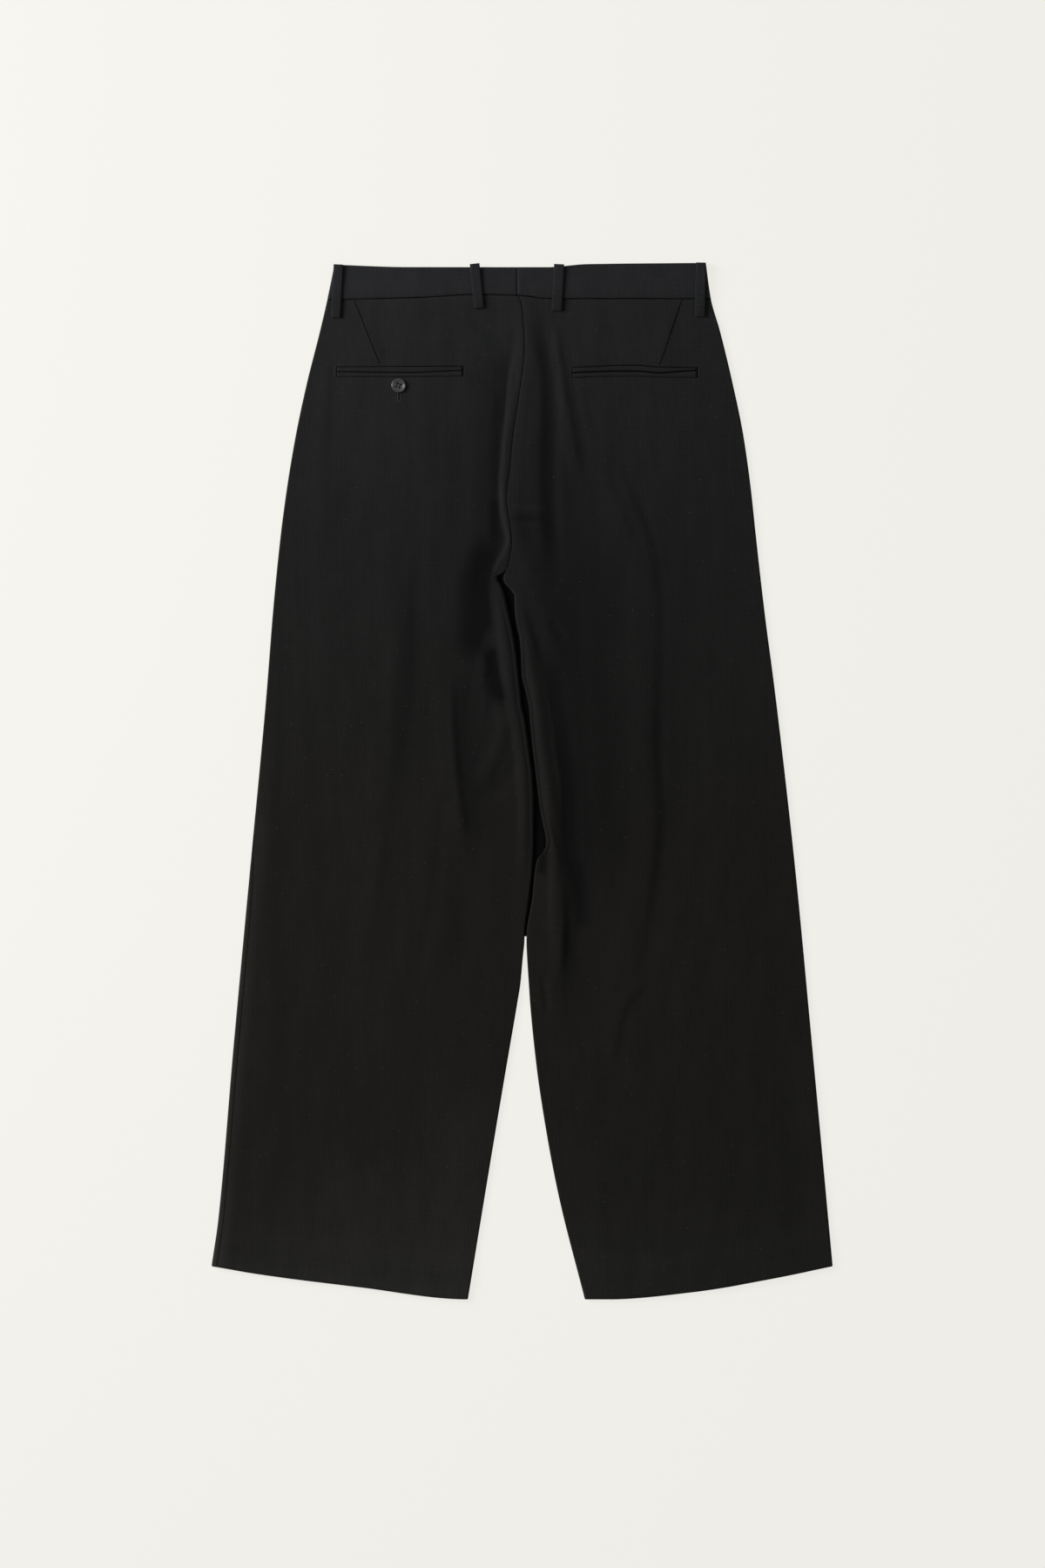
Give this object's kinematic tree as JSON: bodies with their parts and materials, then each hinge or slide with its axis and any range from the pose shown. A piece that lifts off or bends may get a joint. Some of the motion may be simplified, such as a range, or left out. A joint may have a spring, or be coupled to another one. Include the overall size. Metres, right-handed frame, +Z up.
{
  "type": "pleated trousers",
  "caption": "Wide-leg pleated trousers in dark suiting laid flat, back up, with waistband, belt loops, darts and double-welt back pockets, one buttoned",
  "frame": {"origin": "centre of the underside of the box around the trousers, on the surface that they lie on", "axes": "+Y runs from the hems to the waistband, the longest side; +X runs to the wearer's right, which is to the right as seen from above; +Z points up from the surface, out of the back of the trousers"},
  "size_m": [0.6345, 1.0583, 0.0099],
  "materials": {
    "suiting": "matte plain weave in near-black wool and cotton, with a few pale slubs",
    "button_horn": "dark brown horn, satin"
  },
  "bodies": {
    "root": {"back_left": "suiting", "back_right": "suiting", "front_left": "suiting", "front_right": "suiting", "waistband_back_left": "suiting", "waistband_back_right": "suiting", "waistband_front_left": "suiting", "waistband_front_right": "suiting", "fly_shield": "suiting", "pocket_left_upper_welt": "suiting", "pocket_left_lower_welt": "suiting", "pocket_right_upper_welt": "suiting", "pocket_right_lower_welt": "suiting", "belt_loop_side_left": "suiting", "belt_loop_back_left": "suiting", "belt_loop_back_right": "suiting", "belt_loop_side_right": "suiting", "pocket_button": "button_horn"}
  },
  "joints": []
}
